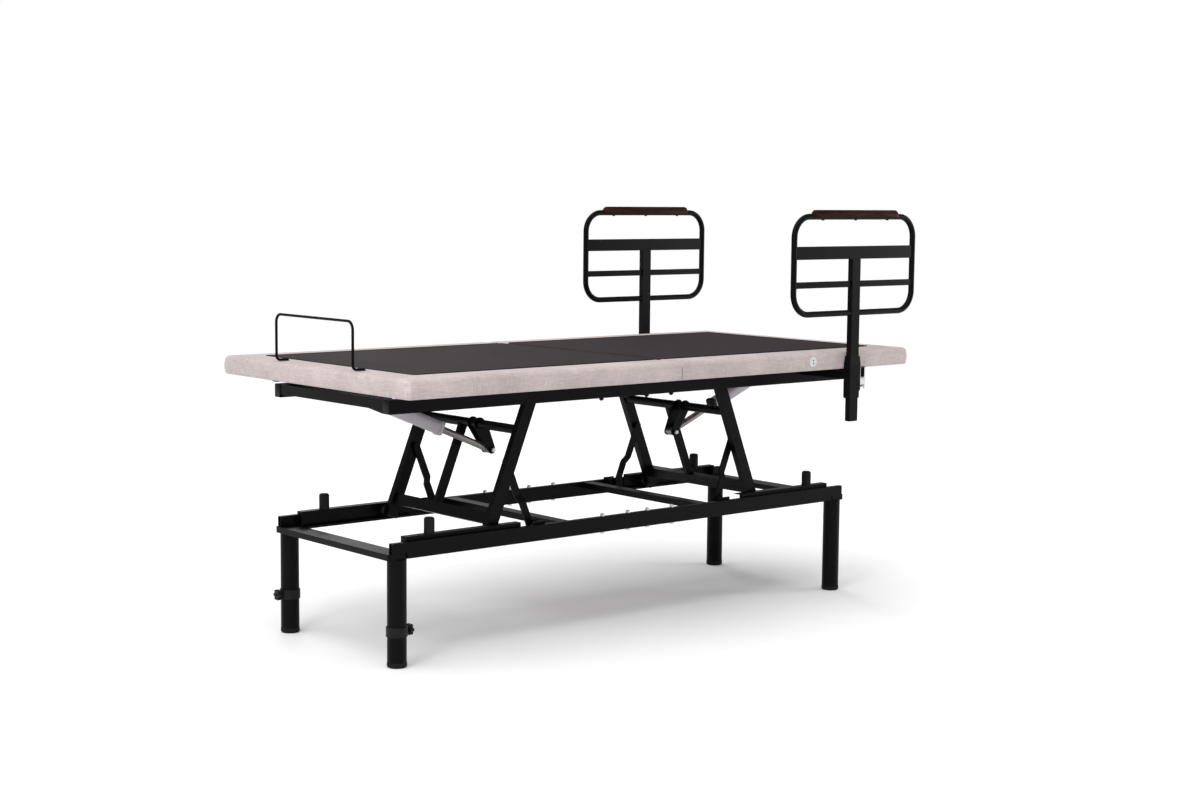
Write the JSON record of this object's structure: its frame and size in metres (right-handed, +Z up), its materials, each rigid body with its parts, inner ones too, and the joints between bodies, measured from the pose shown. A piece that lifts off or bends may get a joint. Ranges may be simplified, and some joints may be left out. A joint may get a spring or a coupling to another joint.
{
  "type": "hospital bed",
  "caption": "Electric adjustable bed: padded two-part deck on a scissor-type lift, tubular floor frame on round legs, height-adjustable assist rails with wooden armrests.",
  "frame": {"origin": "on the floor, under the middle of the bed's outline", "axes": "+X towards the head end, +Y towards the far long side, +Z up"},
  "size_m": [2.02, 1.0362, 1.286],
  "materials": {
    "black_paint": "satin powder coat",
    "black_rubber": "matte",
    "zinc_steel": "zinc plated",
    "chrome": "polished",
    "black_plastic": "matte",
    "roller_nylon": "matte",
    "rod_steel": "ground",
    "actuator_grey": "satin",
    "upholstery": "coated fabric over foam",
    "dark_cover": "matte non-slip",
    "armrest_wood": "oiled"
  },
  "bodies": {
    "floor_frame": {"base_rail_foot_near": "black_paint", "base_rail_foot_far": "black_paint", "base_rail_head_near": "black_paint", "base_rail_head_far": "black_paint", "base_end_bars": "black_paint", "base_inner_bars": "black_paint", "roller_tracks_foot": "black_paint", "roller_tracks_head": "black_paint", "legs_foot": "black_paint", "legs_head": "black_paint", "leg_glides": "black_rubber", "stop_posts": "black_rubber", "base_bolts": "zinc_steel", "link_brackets": "black_paint", "leg_collars": "black_plastic"},
    "knob_near": {"collar_knob_near": "black_plastic"},
    "knob_far": {"collar_knob_far": "black_plastic"},
    "foot_link": {"foot_links": "black_paint"},
    "foot_leg_frame": {"foot_leg_arms": "black_paint", "foot_cross_members": "black_paint", "foot_actuator_bracket": "black_paint"},
    "foot_wheels": {"foot_rollers": "roller_nylon"},
    "foot_rod": {"foot_lift_rod": "rod_steel"},
    "foot_housing": {"foot_lift_motor": "actuator_grey"},
    "upper_frame": {"frame_rails_foot": "black_paint", "frame_rails_head": "black_paint", "frame_cross_rails": "black_paint", "frame_brackets": "black_paint", "frame_bolts": "black_paint", "frame_buffers": "black_rubber", "control_box": "black_plastic", "rail_socket_near": "black_paint", "rail_socket_far": "black_paint"},
    "head_leg_frame": {"head_leg_arms": "black_paint", "head_cross_members": "black_paint", "head_actuator_bracket": "black_paint"},
    "head_link": {"head_links": "black_paint"},
    "head_wheels": {"head_rollers": "roller_nylon"},
    "head_rod": {"head_lift_rod": "rod_steel"},
    "head_housing": {"head_lift_motor": "actuator_grey"},
    "latch_near": {"rail_latch_near": "chrome"},
    "latch_far": {"rail_latch_far": "chrome"},
    "head_deck": {"deck_head_half": "upholstery", "deck_head_cover": "dark_cover", "deck_head_subframe": "black_paint", "charging_port": "black_plastic"},
    "foot_deck": {"deck_foot_half": "upholstery", "deck_foot_cover": "dark_cover", "deck_foot_subframe": "black_paint"},
    "retainer": {"retainer_bar": "black_paint"},
    "assist_near": {"assist_loop_near": "black_paint", "assist_bars_near": "black_paint", "armrest_cap_near": "armrest_wood"},
    "assist_far": {"assist_loop_far": "black_paint", "assist_bars_far": "black_paint", "armrest_cap_far": "armrest_wood"},
    "back_rod": {"back_lift_rod": "rod_steel"},
    "back_housing": {"back_lift_motor": "actuator_grey"},
    "leg_rod": {"leg_lift_rod": "rod_steel"},
    "leg_housing": {"leg_lift_motor": "actuator_grey"}
  },
  "joints": [
    {"name": "lift", "type": "hinge", "parent": "floor_frame", "child": "foot_link", "pos_m": [-0.398, 0, 0.342], "axis": [0, 1, 0], "range_deg": [-55.3, 0]},
    {"name": "foot_leg_turn", "type": "hinge", "parent": "foot_link", "child": "foot_leg_frame", "pos_m": [-0.478, 0, 0.541], "axis": [0, 1, 0], "range_deg": [0, 112.9]},
    {"name": "frame_level", "type": "hinge", "parent": "foot_leg_frame", "child": "upper_frame", "pos_m": [-0.398, 0, 0.74], "axis": [0, 1, 0], "range_deg": [-56.45, 0]},
    {"name": "head_leg_turn", "type": "hinge", "parent": "upper_frame", "child": "head_leg_frame", "pos_m": [0.366, 0, 0.74], "axis": [0, 1, 0], "range_deg": [-56.45, 0]},
    {"name": "head_link_turn", "type": "hinge", "parent": "head_leg_frame", "child": "head_link", "pos_m": [0.446, 0, 0.541], "axis": [0, 1, 0], "range_deg": [0, 112.9]},
    {"name": "foot_rod_turn", "type": "hinge", "parent": "foot_leg_frame", "child": "foot_rod", "pos_m": [-0.394, -0.032, 0.552], "axis": [0, 1, 0], "range_deg": [-54.81, 0]},
    {"name": "foot_rod_stroke", "type": "slide", "parent": "foot_rod", "child": "foot_housing", "axis": [-0.9226, 0, 0.3858], "range_m": [-0.1757, 0]},
    {"name": "head_rod_turn", "type": "hinge", "parent": "head_leg_frame", "child": "head_rod", "pos_m": [0.362, -0.032, 0.552], "axis": [0, 1, 0], "range_deg": [0, 54.81]},
    {"name": "head_rod_stroke", "type": "slide", "parent": "head_rod", "child": "head_housing", "axis": [0.9226, 0, 0.3858], "range_m": [-0.1757, 0]},
    {"name": "foot_wheels_roll", "type": "hinge", "parent": "foot_leg_frame", "child": "foot_wheels", "pos_m": [-0.558, 0, 0.342], "axis": [0, 1, 0], "continuous": true},
    {"name": "head_wheels_roll", "type": "hinge", "parent": "head_leg_frame", "child": "head_wheels", "pos_m": [0.526, 0, 0.342], "axis": [0, 1, 0], "continuous": true},
    {"name": "head_raise", "type": "hinge", "parent": "upper_frame", "child": "head_deck", "pos_m": [-0.016, 0, 0.818], "axis": [0, -1, 0], "range_deg": [0, 60]},
    {"name": "foot_raise", "type": "hinge", "parent": "upper_frame", "child": "foot_deck", "pos_m": [-0.016, 0, 0.818], "axis": [0, 1, 0], "range_deg": [0, 28]},
    {"name": "back_rod_turn", "type": "hinge", "parent": "head_deck", "child": "back_rod", "pos_m": [0.014, 0.06, 0.713], "axis": [0, 1, 0], "range_deg": [0, 48.94]},
    {"name": "back_rod_stroke", "type": "slide", "parent": "back_rod", "child": "back_housing", "axis": [-0.9976, 0, 0.0695], "range_m": [0, 0.0846]},
    {"name": "leg_rod_turn", "type": "hinge", "parent": "foot_deck", "child": "leg_rod", "pos_m": [-0.046, -0.06, 0.713], "axis": [0, 1, 0], "range_deg": [-23.74, 0]},
    {"name": "leg_rod_stroke", "type": "slide", "parent": "leg_rod", "child": "leg_housing", "axis": [0.9976, 0, 0.0695], "range_m": [0, 0.0462]},
    {"name": "assist_near_height", "type": "slide", "parent": "upper_frame", "child": "assist_near", "axis": [0, 0, 1], "range_m": [-0.1, 0.06]},
    {"name": "assist_far_height", "type": "slide", "parent": "upper_frame", "child": "assist_far", "axis": [0, 0, 1], "range_m": [-0.1, 0.06]},
    {"name": "latch_near_pull", "type": "slide", "parent": "upper_frame", "child": "latch_near", "axis": [1, 0, 0], "range_m": [0, 0.008], "stiffness_N_per_m": 600, "springref_m": -0.004},
    {"name": "latch_far_pull", "type": "slide", "parent": "upper_frame", "child": "latch_far", "axis": [1, 0, 0], "range_m": [0, 0.008], "stiffness_N_per_m": 600, "springref_m": -0.004},
    {"name": "retainer_lift", "type": "slide", "parent": "foot_deck", "child": "retainer", "axis": [0, 0, 1], "range_m": [0, 0.034]},
    {"name": "knob_near_turn", "type": "hinge", "parent": "floor_frame", "child": "knob_near", "pos_m": [-0.9055, -0.284, 0.102], "axis": [1, 0, 0], "continuous": true},
    {"name": "knob_far_turn", "type": "hinge", "parent": "floor_frame", "child": "knob_far", "pos_m": [-0.9055, 0.284, 0.118], "axis": [1, 0, 0], "continuous": true}
  ],
  "couplings": [
    {"joint": "foot_leg_turn", "follows": "lift", "ratio": -2},
    {"joint": "frame_level", "follows": "lift", "ratio": 1},
    {"joint": "head_leg_turn", "follows": "lift", "ratio": 1},
    {"joint": "head_link_turn", "follows": "lift", "ratio": -2},
    {"joint": "foot_rod_turn", "follows": "lift", "ratio": 0.9903},
    {"joint": "foot_rod_stroke", "follows": "lift", "m_per_rad": 0.18183},
    {"joint": "head_rod_turn", "follows": "lift", "ratio": -0.9903},
    {"joint": "head_rod_stroke", "follows": "lift", "m_per_rad": 0.18183},
    {"joint": "back_rod_turn", "follows": "head_raise", "ratio": 0.8148},
    {"joint": "back_rod_stroke", "follows": "head_raise", "m_per_rad": 0.08055},
    {"joint": "leg_rod_turn", "follows": "foot_raise", "ratio": -0.8462},
    {"joint": "leg_rod_stroke", "follows": "foot_raise", "m_per_rad": 0.09408}
  ]
}
